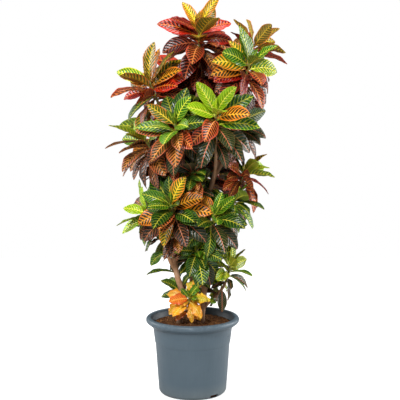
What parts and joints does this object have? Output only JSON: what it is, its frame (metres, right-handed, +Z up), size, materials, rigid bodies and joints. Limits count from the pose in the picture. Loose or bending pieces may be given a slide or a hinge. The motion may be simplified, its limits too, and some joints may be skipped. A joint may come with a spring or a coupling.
{
  "type": "potted croton plant",
  "caption": "Bushy croton with upright woody stems and heads of broad, pointed, yellow, red and green leaves, growing in a round blue-grey nursery pot with a rolled rim.",
  "frame": {"origin": "middle of the pot's flat underside, on the surface that the pot stands on", "axes": "+Z up along the pot's axis and the stems; -Y towards the front of the picture, +X to its right"},
  "size_m": [0.5685, 0.5136, 1.2675],
  "materials": {
    "pot": "moulded, faintly grained, satin",
    "soil": "loose, fibrous coir and peat, matt",
    "bark": "fine-ridged grey-brown bark, matt",
    "leaf_red": "waxy leaf, red and orange with yellow veins",
    "leaf_orange": "waxy leaf, orange with dark green between the veins",
    "leaf_olive": "waxy leaf, olive with yellow veins",
    "leaf_lime": "waxy young leaf, lime with yellow veins",
    "leaf_green": "waxy leaf, green with yellow veins",
    "leaf_dark": "waxy leaf, near-black green with dull red veins",
    "leaf_yellow": "waxy leaf, yellow and orange"
  },
  "bodies": {
    "root": {"pot": "pot", "soil": "soil", "stem_left": "bark", "stem_middle": "bark", "stem_right": "bark", "head_top": "leaf_red", "head_right_front": "leaf_olive", "head_right_back": "leaf_red", "head_left_high": "leaf_orange", "head_centre_front": "leaf_lime", "head_left_front": "leaf_olive", "head_left_wide": "leaf_lime", "head_right_mid": "leaf_green", "head_back_high": "leaf_red", "head_back_right": "leaf_olive", "head_back_left": "leaf_green", "head_low_front": "leaf_orange", "head_low_left": "leaf_green", "head_mid_front": "leaf_olive", "head_low_right": "leaf_green", "head_right_arm": "leaf_orange", "head_right_low": "leaf_green", "head_left_low": "leaf_dark", "head_back_mid": "leaf_green", "head_back_low": "leaf_green", "head_low_middle": "leaf_green", "head_low_centre": "leaf_dark", "head_sprig": "leaf_lime", "head_base": "leaf_yellow"}
  },
  "joints": []
}
